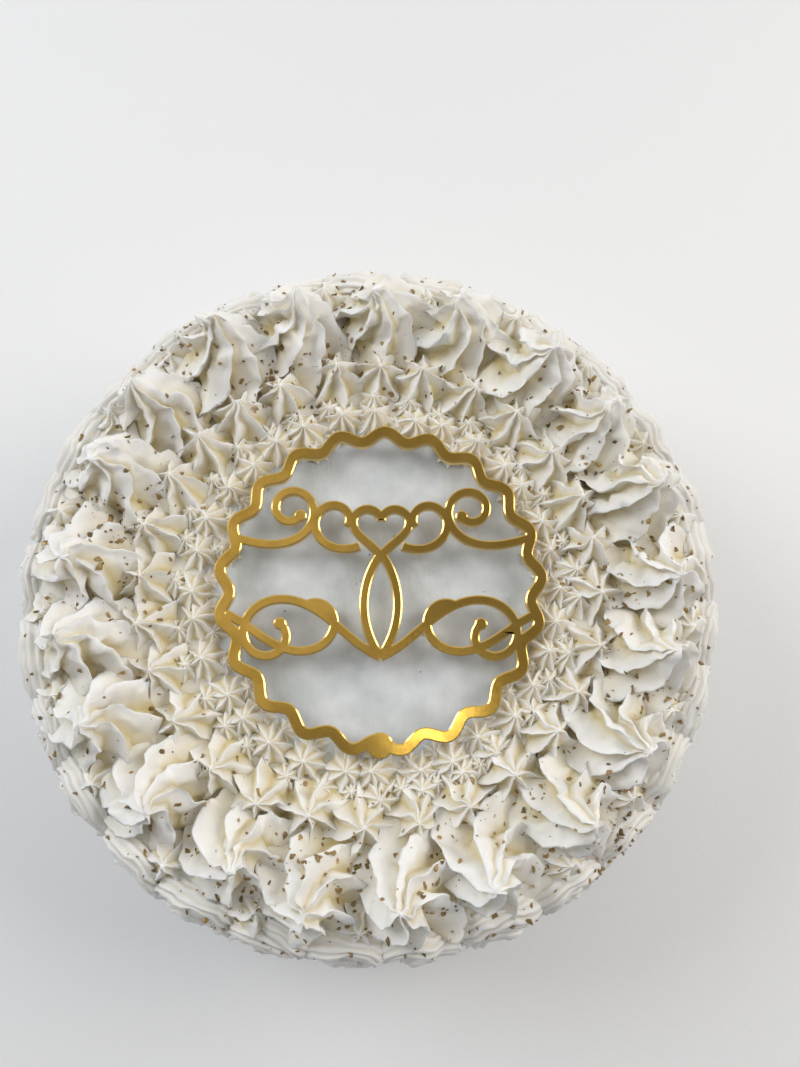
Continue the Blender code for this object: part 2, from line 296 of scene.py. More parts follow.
def remove_all(objects: Iterable[Item]) -> None:
    """Removes masters that were only copied from."""
    for obj in list(objects):
        bpy.data.objects.remove(obj, do_unlink=True)


def face_out(obj: Item) -> None:
    """Merges doubled corners and turns every face outwards."""
    with editing(obj):
        select_everything()
        bpy.ops.mesh.remove_doubles(threshold=DOUBLED)
        bpy.ops.mesh.normals_make_consistent(inside=False)


def hand_in(obj: Item, material: Material, node: Node) -> Item:
    """Dresses a finished piece and says what it rides on and stands for.

    Args:
        obj: the piece.
        material: its finish.
        node: the solid that it stands for.

    Returns:
        The piece.
    """
    obj.data.materials.clear()
    obj.data.materials.append(material)
    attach(obj, "root")
    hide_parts(node.value)
    triangles = sum(len(face.vertices) - 2 for face in obj.data.polygons)
    LOG.info("%s: %d triangles", obj.name, triangles)
    return obj


def hand_in_piping(obj: Item, icing: Material, pushes: Sequence[Pair]) -> None:
    """Warps piping so that no two of its folds are alike, smooths it and hands it in.

    Args:
        obj: the piece.
        icing: its finish.
        pushes: the grain and the reach of each warp.
    """
    for grain, reach in pushes:
        displace(obj, grain, reach, every_way=True)
    obj.data.shade_smooth()
    hand_in(obj, icing, Node.CAKE)


def on_ring(radius: float, degrees: float) -> Vector:
    """A point on a circle about the cake's middle."""
    angle = math.radians(degrees)
    return Vector((radius * math.cos(angle), radius * math.sin(angle), 0))


def blend(low: float, high: float, share: float) -> float:
    """The value at a share of the way from low to high."""
    return low + (high - low) * share


# Finishes


@dataclass
class NodeWork:
    """Places and joins the nodes of one node tree."""

    tree: NodeTree

    def add(self, kind: str, sockets: dict | None = None, **values: object) -> ShaderNode:
        """Adds a node.

        Args:
            kind: its type.
            sockets: input to value.
            values: its properties.

        Returns:
            The node.
        """
        node = self.tree.nodes.new(kind)
        for name, value in values.items():
            setattr(node, name, value)
        self.fill(node, sockets or {})
        return node

    def fill(self, node: ShaderNode, sockets: dict) -> None:
        """Sets a node's inputs."""
        for socket, value in sockets.items():
            node.inputs[socket].default_value = value

    def wire(self, *joints: tuple) -> None:
        """Joins sockets, each joint given as (node, output, node, input)."""
        for start, output, end, socket in joints:
            self.tree.links.new(start.outputs[output], end.inputs[socket])

    def tint(self, shader: ShaderNode, base: ShaderNode, colour: Triple, share: tuple) -> None:
        """Lays a colour over a shader's base colour.

        Args:
            shader: the shader.
            base: the node whose Color is covered.
            colour: the colour laid over it.
            share: the node and output that say how much.
        """
        mix = self.add("ShaderNodeMix", {"B": (*colour, 1.0)}, data_type="RGBA")
        self.wire((*share, mix, "Factor"), (base, "Color", mix, "A"), (mix, "Result", shader, "Base Color"))


def new_group(name: str, inputs: dict, outputs: dict) -> tuple[NodeTree, NodeWork, object, object]:
    """Starts a shader node group.

    Args:
        name: the group's name.
        inputs: socket name to (socket type, default).
        outputs: socket name to socket type.

    Returns:
        The group, its node work, and its input and output nodes.
    """
    group = bpy.data.node_groups.new(name, "ShaderNodeTree")
    for title, (kind, default) in inputs.items():
        socket = group.interface.new_socket(title, in_out="INPUT", socket_type=kind)
        socket.default_value = default
    for title, kind in outputs.items():
        group.interface.new_socket(title, in_out="OUTPUT", socket_type=kind)
    work = NodeWork(group)
    return group, work, work.add("NodeGroupInput"), work.add("NodeGroupOutput")


def mottle_group() -> NodeTree:
    """Two colours that drift into each other in soft patches.

    Returns:
        The node group.
    """
    group, work, given, result = new_group(
        "soft_mottle",
        {
            "First": ("NodeSocketColor", (1, 1, 1, 1)),
            "Second": ("NodeSocketColor", (0.5, 0.5, 0.5, 1)),
            "Scale": ("NodeSocketFloat", 30.0),
            "Share": ("NodeSocketFloat", 0.5),
        },
        {"Color": "NodeSocketColor", "Mask": "NodeSocketFloat"},
    )
    place = work.add("ShaderNodeTexCoord")
    noise = work.add("ShaderNodeTexNoise", {"Detail": 3.0})
    spread = work.add("ShaderNodeMapRange", {"From Min": PATCH_FROM, "From Max": PATCH_TO})
    weigh = work.add("ShaderNodeMath", operation="MULTIPLY")
    mix = work.add("ShaderNodeMix", data_type="RGBA")
    work.wire(
        (place, "Object", noise, "Vector"),
        (given, "Scale", noise, "Scale"),
        (noise, "Fac", spread, "Value"),
        (spread, "Result", weigh, 0),
        (given, "Share", weigh, 1),
        (weigh, 0, mix, "Factor"),
        (given, "First", mix, "A"),
        (given, "Second", mix, "B"),
        (mix, "Result", result, "Color"),
        (spread, "Result", result, "Mask"),
    )
    return group


def relief_group() -> NodeTree:
    """A fine relief of broad swellings and small grain.

    Returns:
        The node group.
    """
    group, work, given, result = new_group(
        "fine_relief",
        {
            "Broad scale": ("NodeSocketFloat", 200.0),
            "Grain scale": ("NodeSocketFloat", 1200.0),
            "Grain share": ("NodeSocketFloat", 0.4),
            "Stretch": ("NodeSocketVector", (1.0, 1.0, 1.0)),
        },
        {"Height": "NodeSocketFloat"},
    )
    place = work.add("ShaderNodeTexCoord")
    draw = work.add("ShaderNodeVectorMath", operation="MULTIPLY")
    broad = work.add("ShaderNodeTexNoise", {"Detail": 2.0})
    grain = work.add("ShaderNodeTexNoise", {"Detail": 1.0})
    mix = work.add("ShaderNodeMix", data_type="FLOAT")
    work.wire(
        (place, "Object", draw, 0),
        (given, "Stretch", draw, 1),
        (draw, "Vector", broad, "Vector"),
        (draw, "Vector", grain, "Vector"),
        (given, "Broad scale", broad, "Scale"),
        (given, "Grain scale", grain, "Scale"),
        (given, "Grain share", mix, "Factor"),
        (broad, "Fac", mix, "A"),
        (grain, "Fac", mix, "B"),
        (mix, "Result", result, "Height"),
    )
    return group


@dataclass
class Effects:
    """The node groups that several finishes share."""

    mottle: NodeTree = field(default_factory=mottle_group)
    relief: NodeTree = field(default_factory=relief_group)


@dataclass(frozen=True)
class Finish:
    """What every finish has: two colours that mottle, a gloss that varies, and a relief."""

    name: str
    first: Triple
    second: Triple
    patch_scale: float
    share: float
    roughness: Pair
    relief_scale: float
    grain_scale: float
    grain_share: float
    relief_depth: float
    stretch: Triple = (1.0, 1.0, 1.0)

    def start(self, effects: Effects) -> tuple[Material, NodeWork, ShaderNode, ShaderNode]:
        """Makes the material with its mottle, gloss and relief.

        Args:
            effects: the shared node groups.

        Returns:
            The material, its node work, the shader and the mottle node.
        """
        material = bpy.data.materials.new(self.name)
        material.use_nodes = True
        material.diffuse_color = (*self.first, 1.0)
        work = NodeWork(material.node_tree)
        shader = material.node_tree.nodes["Principled BSDF"]
        patches = {
            "First": (*self.first, 1.0),
            "Second": (*self.second, 1.0),
            "Scale": self.patch_scale,
            "Share": self.share,
        }
        mottle = work.add("ShaderNodeGroup", patches, node_tree=effects.mottle)
        gloss = work.add("ShaderNodeMapRange", {"To Min": self.roughness[0], "To Max": self.roughness[1]})
        fineness = {
            "Broad scale": self.relief_scale,
            "Grain scale": self.grain_scale,
            "Grain share": self.grain_share,
            "Stretch": self.stretch,
        }
        relief = work.add("ShaderNodeGroup", fineness, node_tree=effects.relief)
        bump = work.add("ShaderNodeBump", {"Strength": 1.0, "Distance": self.relief_depth})
        work.wire(
            (mottle, "Color", shader, "Base Color"),
            (mottle, "Mask", gloss, "Value"),
            (gloss, "Result", shader, "Roughness"),
            (relief, "Height", bump, "Height"),
            (bump, "Normal", shader, "Normal"),
        )
        return material, work, shader, mottle


@dataclass(frozen=True)
class Buttercream(Finish):
    """Buttercream: soft and faintly translucent, with painted shade, darker and yellower, laid into the
    piping's folds; the spread icing lays its paler border colour the same way.
    """

    # Painted shade: the fold colour is the darker, yellower shade laid into the piping's folds and the stars'
    # feet by their marked depth; on the spread icing it is the paler colour of the border.
    fold: Triple = (0.635, 0.51, 0.205)
    fold_share: float = 0.90
    fold_narrowing: float = 1.9
    translucence: float = 0.35
    bleed: Triple = (1.0, 0.85, 0.65)
    reach: float = 0.0008
    shine: float = 0.4

    def material(self, effects: Effects) -> Material:
        """Makes the finished material.

        Args:
            effects: the shared node groups.

        Returns:
            The material.
        """
        material, work, shader, mottle = self.start(effects)
        # Painted shade: the fold colour is mixed over the mottle by how deep in a fold each place is marked.
        depth = work.add("ShaderNodeAttribute", attribute_name=DEPTH_NAME)
        curve = work.add("ShaderNodeMath", {1: self.fold_narrowing}, operation="POWER")
        weigh = work.add("ShaderNodeMath", {1: self.fold_share}, operation="MULTIPLY")
        work.wire((depth, "Fac", curve, 0), (curve, 0, weigh, 0))
        work.tint(shader, mottle, self.fold, (weigh, 0))
        work.fill(shader, {
            "Subsurface Weight": self.translucence,
            "Subsurface Radius": self.bleed,
            "Subsurface Scale": self.reach,
            "Specular IOR Level": self.shine,
        })
        return material


@dataclass(frozen=True)
class Gold(Finish):
    """A gold metal look, for the topper and for the flakes."""

    metallic: float = 1.0
    toned: bool = False
    deep: Triple = (0.30, 0.15, 0.02)
    # Painted highlight: the edge colour is laid on the cut sides and broken edges by how far their normals
    # tilt from upright, for the glint they catch from the sky and lamps.
    painted_edge_highlight: bool = False
    edge: Triple = (0.90, 0.62, 0.19)
    flat_above: float = 0.97
    edge_below: float = 0.88

    def material(self, effects: Effects) -> Material:
        """Makes the finished material.

        Args:
            effects: the shared node groups.

        Returns:
            The material.
        """
        material, work, shader, mottle = self.start(effects)
        work.fill(shader, {"Metallic": self.metallic})
        if self.toned:
            tone = work.add("ShaderNodeAttribute", attribute_name=TONE_NAME)
            work.tint(shader, mottle, self.deep, (tone, "Fac"))
        if self.painted_edge_highlight:
            self._paint_edge_highlight(work, shader, mottle)
        return material

    def _paint_edge_highlight(self, work: NodeWork, shader: ShaderNode, mottle: ShaderNode) -> None:
        """Paints a highlight on the cut sides and broken edges, a brighter colour than the flat face.

        Args:
            work: the material's node work.
            shader: its shader.
            mottle: the colour of the flat face.
        """
        surface = work.add("ShaderNodeNewGeometry")
        split = work.add("ShaderNodeSeparateXYZ")
        level = work.add("ShaderNodeMath", operation="ABSOLUTE")
        side = work.add("ShaderNodeMapRange", {"From Min": self.flat_above, "From Max": self.edge_below})
        work.wire(
            (surface, "True Normal", split, "Vector"),
            (split, "Z", level, 0),
            (level, 0, side, "Value"),
        )
        work.tint(shader, mottle, self.edge, (side, "Result"))


@dataclass(frozen=True)
class PaleFloor(Finish):
    """A plain pale floor."""

    def material(self, effects: Effects) -> Material:
        """The finished material."""
        return self.start(effects)[0]


PIPED = Buttercream(
    "piped_buttercream", (0.95, 0.94, 0.925), (0.92, 0.905, 0.86), 38.0, 0.7, (0.42, 0.58),
    420.0, 1900.0, 0.35, 0.00022,
)
# Painted shade: a darker, greyer copy of the piped icing, with a duller fold colour, for the side rosettes,
# as if the cake's side stood in shade.
SHADED_SIDE_PIPED = replace(
    PIPED, name="shaded_side_buttercream",
    first=(0.90, 0.89, 0.87), second=(0.87, 0.85, 0.80), fold=(0.64, 0.55, 0.33),
)
# The spread icing is greyer and cooler than the piping. Its strong soft patches are partly the icing's uneven
# tone and partly painted shade for the smeared lumps on the disc; its fold colour is the paler border beyond
# the bare disc.
SPREAD = Buttercream(
    "spread_buttercream", (0.55, 0.585, 0.595), (0.75, 0.775, 0.785), 75.0, 0.9, (0.45, 0.62),
    130.0, 900.0, 0.15, 0.0010, (1.0, 0.45, 1.0), fold=(0.84, 0.81, 0.72), fold_share=0.95,
)
# The topper's gold, with a painted highlight on its edges.
GOLD_PLATE = Gold(
    "gold_acrylic", (0.50, 0.31, 0.066), (0.36, 0.21, 0.038), 110.0, 0.8, (0.13, 0.19),
    600.0, 2600.0, 0.3, 0.00001, painted_edge_highlight=True,
)
GOLD_LEAF = Gold(
    "gold_flakes", (0.52, 0.35, 0.14), (0.34, 0.22, 0.08), 500.0, 0.8, (0.32, 0.55),
    1500.0, 4200.0, 0.4, 0.0002, metallic=0.4, toned=True, deep=(0.15, 0.10, 0.04),
)
FLOOR = PaleFloor(
    "pale_floor", (0.88, 0.88, 0.88), (0.85, 0.85, 0.85), 3.0, 0.5, (0.6, 0.7),
    40.0, 300.0, 0.5, 0.0002,
)


# Where the piping goes


@dataclass(frozen=True)
class Placement:
    """Where one piped star stands, how large it is and which way it leans."""

    place: Vector
    size: float
    lean: Vector
    turn: float
    sunk: float


@dataclass(frozen=True)
class Ring:
    """A ring of piping: how many, on what radius, and the angles of the first and between them."""

    count: int
    radius: float
    start: float
    step: float
    spread: float
    centre: Pair = (0.0, 0.0)


@dataclass
class Hand:
    """The hand that pipes, which never sets two stars down alike."""

    rng: random.Random
    off_ring: float = 0.0012
    sizes: Pair = (0.94, 1.05)
    leans: Pair = (0.7, 1.25)
    aside: float = 25
    sinks: Pair = (0.8, 1.2)
    rest_sinks: Pair = (1.0, 1.2)

    def ring(self, ring: Ring, lean: float) -> list[Placement]:
        """Places the stars of one ring.

        Args:
            ring: the ring.
            lean: how far a peak leans outwards.

        Returns:
            A placement for each star.
        """
        draw = self.rng.uniform
        found = []
        for index in range(ring.count):
            degrees = ring.start + index * ring.step + draw(-ring.spread, ring.spread)
            radius = ring.radius + draw(-self.off_ring, self.off_ring)
            place = Vector((*ring.centre, 0)) + on_ring(radius, degrees)
            size = draw(*self.sizes)
            leaning = on_ring(lean * draw(*self.leans), degrees + draw(-self.aside, self.aside))
            turned = draw(0, 360)
            sunk = SUNK * draw(*self.sinks)
            found.append(Placement(place, size, leaning, turned, sunk))
        return found

    def rests(self, count: int, radius: float, start: float) -> list[Placement]:
        """Places the low stars that the topper's ring lies on.

        Args:
            count: how many.
            radius: of their ring.
            start: angle of the first.

        Returns:
            A placement for each.
        """
        found = []
        for index in range(count):
            place = Vector((*TOPPER_CENTRE, 0)) + on_ring(radius, start + index * 360 / count)
            turned = self.rng.uniform(0, 360)
            sunk = SUNK * self.rng.uniform(*self.rest_sinks)
            found.append(Placement(place, 1.0, Vector(), turned, sunk))
        return found


# Piped stars


@dataclass(frozen=True)
class PipedStar:
    """One kind of piped star, as an open star tip leaves it: ridges that narrow to a peak."""

    name: str
    width: float
    height: float
    ridges: int
    valley: float
    flank: float
    foot_valley: float
    foot_flank: float
    pinch: float
    skew: float
    twist: float
    lean: float
    profile: tuple[Pair, ...]
    crease: float
    smoothness: int
    variants: int
    sway: float = 4.0
    crest_shares: Pair = (0.93, 1.07)
    valley_shares: Pair = (0.92, 1.08)
    wander: float = 4.0
    twist_shares: Pair = (0.85, 1.15)
    # Painted shade at a star's foot: the scale on the fold marks, the depth added at the foot, and how fast
    # that fades upwards.
    foot_shade: Triple = (0.85, 0.5, 2.5)

    def master(self, variant: int, rng: random.Random) -> Item:
        """Models one star, leaning towards +X.

        Args:
            variant: which of its masters this is.
            rng: draws how its ridges differ.

        Returns:
            The star, standing on the origin.
        """
        bpy.ops.mesh.primitive_circle_add(
            vertices=4 * self.ridges, radius=self.width / 2 * self.profile[0][1], fill_type="NGON"
        )
        star = made(f"{self.name}_master_{variant}")
        with editing(star):
            self._draw_outline(star, rng)
            step = 360 / self.ridges / self.variants
            select_everything()
            turn(step * variant)
            self._raise(star, rng)
            self._crease_crests(star)
            self._paint_foot_shade(star)
        subdivide_smooth(star, self.smoothness)
        return star

    def _draw_outline(self, star: Item, rng: random.Random) -> None:
        """Draws the circle's corners in to valleys and round to crests, each ridge a little different.

        Args:
            star: the circle, in edit mode.
            rng: draws the differences.
        """
        mesh = bmesh.from_edit_mesh(star.data)
        depth = mesh.verts.layers.float.new(DEPTH_NAME)
        mesh.verts.ensure_lookup_table()
        for index, vert in enumerate(mesh.verts):
            vert[depth] = (0.0, FLANK, 1.0, FLANK)[index % 4]
        bmesh.update_edit_mesh(star.data)
        for ridge in range(self.ridges):
            crest = 4 * ridge
            reach = rng.uniform(*self.crest_shares)
            valley = self.foot_valley * rng.uniform(*self.valley_shares)
            shares = (reach, self.foot_flank, valley, self.foot_flank)
            wander = rng.uniform(-self.wander, self.wander)
            turns = (self.skew + wander, wander - self.pinch, 0.0, wander + self.pinch)
            for offset, (share, degrees) in enumerate(zip(shares, turns)):
                select_where(star, lambda vert, _depth, index=crest + offset: vert.index == index)
                resize((share, share, 1))
                turn(degrees)

    def _raise(self, star: Item, rng: random.Random) -> None:
        """Extrudes the outline level by level up to the peak.

        Args:
            star: the outline, in edit mode.
            rng: draws how the levels differ.
        """
        select_everything()
        for number, ((low, wide), (high, narrow)) in enumerate(zip(self.profile, self.profile[1:])):
            extrude((self.lean * (high**2 - low**2), 0, self.height * (high - low)))
            centre = (self.lean * high**2, 0, self.height * high)
            resize((narrow / wide, narrow / wide, 1), centre)
            turn(self.twist * (high - low) * rng.uniform(*self.twist_shares), centre)
            if number < DEEPENING_LEVELS:
                self._deepen(star, centre)
        bpy.ops.mesh.merge(type="CENTER")

    def _deepen(self, star: Item, centre: Sequence[float]) -> None:
        """Draws the topmost outline further in between its crests, as the icing leaves the tip's teeth.

        Args:
            star: the star so far, in edit mode.
            centre: the middle of its topmost outline.
        """
        above = centre[2] - LEVEL_SLACK
        part = 1 / DEEPENING_LEVELS
        deeper = (self.valley / self.foot_valley) ** part
        select_where(star, lambda vert, depth: depth == 1.0 and vert.co.z > above)
        resize((deeper, deeper, 1), centre)
        thinner = (self.flank / self.foot_flank) ** part
        select_where(star, lambda vert, depth: depth == FLANK and vert.co.z > above)
        resize((thinner, thinner, 1), centre)
        select_where(star, lambda vert, _depth: vert.co.z > above)

    def _crease_crests(self, star: Item) -> None:
        """Keeps the crests thin where the cage is rounded.

        Args:
            star: the cage, in edit mode.
        """
        bpy.ops.mesh.select_all(action="DESELECT")
        bpy.ops.mesh.select_mode(type="EDGE")
        mesh = bmesh.from_edit_mesh(star.data)
        depth = mesh.verts.layers.float[DEPTH_NAME]
        for edge in mesh.edges:
            edge.select = all(vert[depth] == 0.0 for vert in edge.verts)
        bmesh.update_edit_mesh(star.data)
        bpy.ops.transform.edge_crease(value=self.crease)

    def _paint_foot_shade(self, star: Item) -> None:
        """Marks the star's foot as deeper in the folds than its peak, so that the painted shade of the folds
        grows towards its foot.

        Args:
            star: the star, in edit mode.
        """
        mesh = bmesh.from_edit_mesh(star.data)
        depth = mesh.verts.layers.float[DEPTH_NAME]
        fold, foot, narrowing = self.foot_shade
        for vert in mesh.verts:
            low = max(0.0, 1.0 - vert.co.z / self.height)
            vert[depth] = min(1.0, vert[depth] * fold + foot * low**narrowing)
        bmesh.update_edit_mesh(star.data)

    def pipe(self, placements: Sequence[Placement], rng: random.Random) -> list[Item]:
        """Sets copies of the masters down.

        Args:
            placements: where they go.
            rng: draws the masters' differences.

        Returns:
            The copies.
        """
        masters = [self.master(variant, rng) for variant in range(self.variants)]
        copies = []
        for index, spot in enumerate(placements):
            master = masters[int(spot.turn / 360 * self.variants) % self.variants]
            reach = spot.lean.length
            heading = spot.lean.to_2d().angle_signed(Vector((1, 0))) if reach else math.radians(spot.turn)
            slope = (reach - self.lean) / self.height if reach else 0.0
            shear = Matrix.Identity(4)
            shear[0][2] = slope
            level = Vector((0, 0, CAKE_HEIGHT - spot.sunk))
            sway = Matrix.Rotation(math.radians(rng.gauss(0, self.sway)), 4, "X")
            matrix = Matrix.Translation(spot.place + level) @ Matrix.Rotation(heading, 4, "Z") @ sway @ shear
            copies.append(copy_of(master, f"{self.name}_{index}", matrix @ Matrix.Scale(spot.size, 4)))
        remove_all(masters)
        return copies


LARGE = PipedStar(
    "large", 0.0480, 0.0258, 7, 0.36, 0.58, 0.82, 0.90, 5.6, 8.0, 96.0, 0.0070,
    ((0.0, 0.88), (0.08, 1.0), (0.20, 0.98), (0.36, 0.86), (0.52, 0.70),
     (0.68, 0.51), (0.82, 0.32), (0.92, 0.16), (1.0, 0.03)),
    0.08, 2, 7,
)
MEDIUM = PipedStar(
    "medium", 0.0280, 0.0144, 7, 0.34, 0.55, 0.72, 0.84, 5.3, 4.0, 16.0, 0.0008,
    ((0.0, 0.95), (0.14, 1.0), (0.34, 0.88), (0.58, 0.62), (0.80, 0.35), (0.93, 0.15), (1.0, 0.03)),
    0.08, 2, 6,
)
SMALL = PipedStar(
    "small", 0.0182, 0.0092, 8, 0.42, 0.58, 0.76, 0.84, 4.5, 3.0, 12.0, 0.0,
    ((0.0, 0.95), (0.20, 1.0), (0.46, 0.80), (0.74, 0.46), (0.92, 0.18), (1.0, 0.04)),
    0.15, 2, 5,
)
RIM = replace(SMALL, name="rim", width=0.0215, height=0.0105, ridges=6, lean=0.0020, twist=40.0)


@dataclass
class TopPiping:
    """All the piping on the cake's top."""

    hand: Hand
    large: Ring = Ring(21, 0.0945, 3.0, 360 / 21, 1.6)
    medium: Ring = Ring(28, 0.0760, 11.0, 360 / 28, 1.4)
    small: Ring = Ring(32, 0.0612, 0.0, 360 / 32, 2.2, (0.0018, -0.0008))
    filler: Ring = Ring(9, 0.0690, -86.0, 11.5, 2.2)
    rim: Ring = Ring(21, 0.1068, 11.6, 360 / 21, 1.6)
    gap: Ring = Ring(33, 0.0672, 5.0, 360 / 33, 3.0, (0.0009, -0.0004))
    gap_width: float = 0.0135
    gap_height: float = 0.0070
    inner: Ring = Ring(35, 0.0574, 2.0, 360 / 35, 2.0, (0.0030, -0.0006))
    inner_width: float = 0.0120
    inner_height: float = 0.0048
    rest_count: int = 7
    rest_radius: float = 0.0545
    rest_start: float = 12.0
    rest_width: float = 0.0130
    clearance: float = 0.0003
    reaches: tuple[float, ...] = (0.0075, 0.0042, 0.0028, 0.0028, 0.0006, 0.0050, 0.0016)
    grain: float = 0.010
    fine_grain: float = 0.0035
    fine_share: float = 0.25

    def build(self, icing: Material) -> list[Item]:
        """Pipes the swirls and the stars, ring by ring, and then the tiny ones that fill the gaps.

        Args:
            icing: the piped icing's finish.

        Returns:
            The pieces.
        """
        large = self.hand.ring(self.large, LARGE.lean)
        medium = self.hand.ring(self.medium, MEDIUM.lean)
        small = self.hand.ring(self.small, 0.0)
        filler = self.hand.ring(self.filler, 0.0)
        rests = self.hand.rests(self.rest_count, self.rest_radius, self.rest_start)
        rim = self.hand.ring(self.rim, RIM.lean)
        rng = random.Random(SEED)
        rest_height = TOPPER_LOW.z - CAKE_HEIGHT + SUNK - 2 * self.clearance
        low = replace(SMALL, name="rest", width=self.rest_width, height=rest_height, variants=2)
        between = replace(SMALL, name="gap", width=self.gap_width, height=self.gap_height, smoothness=1)
        under = replace(between, name="inner", width=self.inner_width, height=self.inner_height)
        filling = Hand(random.Random(SEED + 2))
        gaps = filling.ring(self.gap, 0.0)
        inner = filling.ring(self.inner, 0.0)
        large_swirls = LARGE.pipe(large, rng)
        medium_stars = MEDIUM.pipe(medium, rng)
        small_stars = SMALL.pipe(small + filler, rng)
        pieces = [
            join_pieces("large_swirls", large_swirls),
            join_pieces("medium_stars", medium_stars),
            join_pieces("small_stars", small_stars[: len(small)]),
            join_pieces("filler_stars", small_stars[len(small) :]),
            join_pieces("low_stars", low.pipe(rests, rng)),
            join_pieces("rim_stars", RIM.pipe(rim, rng)),
            join_pieces("gap_stars", between.pipe(gaps, rng) + under.pipe(inner, rng)),
        ]
        for piece, reach in zip(pieces, self.reaches):
            hand_in_piping(piece, icing, ((self.grain, reach), (self.fine_grain, reach * self.fine_share)))
        return pieces


# Rosettes round the side


@dataclass
class SideRosettes:
    """Rows of spiral rosettes round the side, each a ridged rope of icing wound out from its middle."""

    hand: Hand
    rows: int = 3
    count: int = 29
    start: float = -6.8
    first_row: float = 0.0171
    row_step: float = 0.0286
    lean_in: float = 14.0
    squat: float = 0.955
    top_inwards: float = 0.0022
    top_size: float = 1.06
    ridges: int = 11
    valley: float = 0.82
    # How deep the rope's valleys are marked, for the painted shade of its folds.
    fold_shade_depth: float = 0.60
    turns: float = 2.10
    steps: int = 70
    rope: Pair = (0.0042, 0.0055)
    tip: float = 0.72
    winding: Pair = (0.0004, 0.0113)
    wound: float = 0.62
    level: Pair = (0.0092, 0.0048)
    tapers: Triple = (4, 0.10, 6)
    girths: Pair = (0.96, 1.04)
    tail: float = 0.15
    tail_sinking: float = 0.0030
    shapes: int = 3
    rise: float = 0.0006
    aside: float = 0.8
    sizes: Pair = (0.98, 1.04)
    pushes: tuple[Pair, ...] = ((0.009, 0.0040), (0.003, 0.0010))

    def master(self, rng: random.Random) -> Item:
        """Extrudes the rope's ridged section along its spiral.

        Args:
            rng: draws how the rope's thickness wanders.

        Returns:
            A rosette that faces +Z, its back on the origin.
        """
        bpy.ops.mesh.primitive_circle_add(vertices=4 * self.ridges, radius=self.rope[0], fill_type="NGON")
        rope = made("rosette_master")
        with editing(rope):
            # Marks the rope's valleys for the painted shade of its folds.
            mesh = bmesh.from_edit_mesh(rope.data)
            depth = mesh.verts.layers.float.new(DEPTH_NAME)
            mesh.verts.ensure_lookup_table()
            for index, vert in enumerate(mesh.verts):
                vert[depth] = (0.0, self.fold_shade_depth / 2, self.fold_shade_depth, self.fold_shade_depth / 2)[index % 4]
            bmesh.update_edit_mesh(rope.data)
            middle = 0.5 + 0.5 * self.valley
            select_where(rope, lambda vert, _depth: vert.index % 4 == 2)
            resize((self.valley, self.valley, 1))
            select_where(rope, lambda vert, _depth: vert.index % 2 == 1)
            resize((middle, middle, 1))
            select_everything()
            turn(90, axis="X")
            self._wind(rng)
        face_out(rope)
        return rope

    def _wind(self, rng: random.Random) -> None:
        """Moves the section along the spiral, thinner at both of its ends.

        Args:
            rng: draws how the rope's thickness wanders.
        """
        centre = self._point(0.0)
        bpy.ops.transform.translate(value=centre)
        resize((self.tip,) * 3, centre)
        girth = self.tip
        opening, last, closing = self.tapers
        for step in range(self.steps):
            share = (step + 1) / self.steps
            following = self._point(share)
            extrude(following - centre)
            turn(360 * self.turns / self.steps, following)
            taper = min(1.0, self.tip + opening * share, last + closing * (1 - share))
            wanted = taper * blend(1.0, self.rope[1] / self.rope[0], share) * rng.uniform(*self.girths)
            resize((wanted / girth,) * 3, following)
            girth = wanted
            centre = following

    def _point(self, share: float) -> Vector:
        """A point of the rope's middle line, at a share of its length."""
        place = on_ring(blend(*self.winding, min(1.0, share / self.wound)), 360 * self.turns * share)
        sinking = self.tail_sinking * max(0.0, share - 1 + self.tail) / self.tail
        place.z = blend(*self.level, share) - sinking
        return place

    def build(self, icing: Material) -> list[Item]:
        """Sets the rows of rosettes round the side.

        Args:
            icing: the side rosettes' finish, the piped icing darkened as painted shade.

        Returns:
            One piece for each row.
        """
        draw = self.hand.rng.uniform
        rng = random.Random(SEED + 1)
        masters = [self.master(rng) for _ in range(self.shapes)]
        pieces = []
        for row in range(self.rows):
            topmost = row == self.rows - 1
            copies = []
            for index in range(self.count):
                height = self.first_row + row * self.row_step + draw(0, self.rise)
                degrees = self.start + (index + 0.5 * (row % 2)) * 360 / self.count
                degrees += draw(-self.aside, self.aside)
                size = draw(*self.sizes)
                turned = draw(0, math.tau)
                size *= self.top_size if topmost else 1.0
                matrix = (
                    Matrix.Rotation(math.radians(degrees), 4, "Z")
                    @ Matrix.Translation((CAKE_RADIUS - self.top_inwards * topmost, 0, height))
                    @ Matrix.Rotation(math.radians(90 - self.lean_in * topmost), 4, "Y")
                    @ Matrix.Diagonal((self.squat, 1 / self.squat, 1, 1))
                    @ Matrix.Rotation(turned, 4, "Z")
                    @ Matrix.Diagonal((size, size, 1, 1))
                )
                copies.append(copy_of(masters[index % self.shapes], f"side_{row}_{index}", matrix))
            piece = join_pieces(f"side_row_{row + 1}", copies)
            hand_in_piping(piece, icing, self.pushes)
            pieces.append(piece)
        remove_all(masters)
        return pieces


# The spread icing under the piping


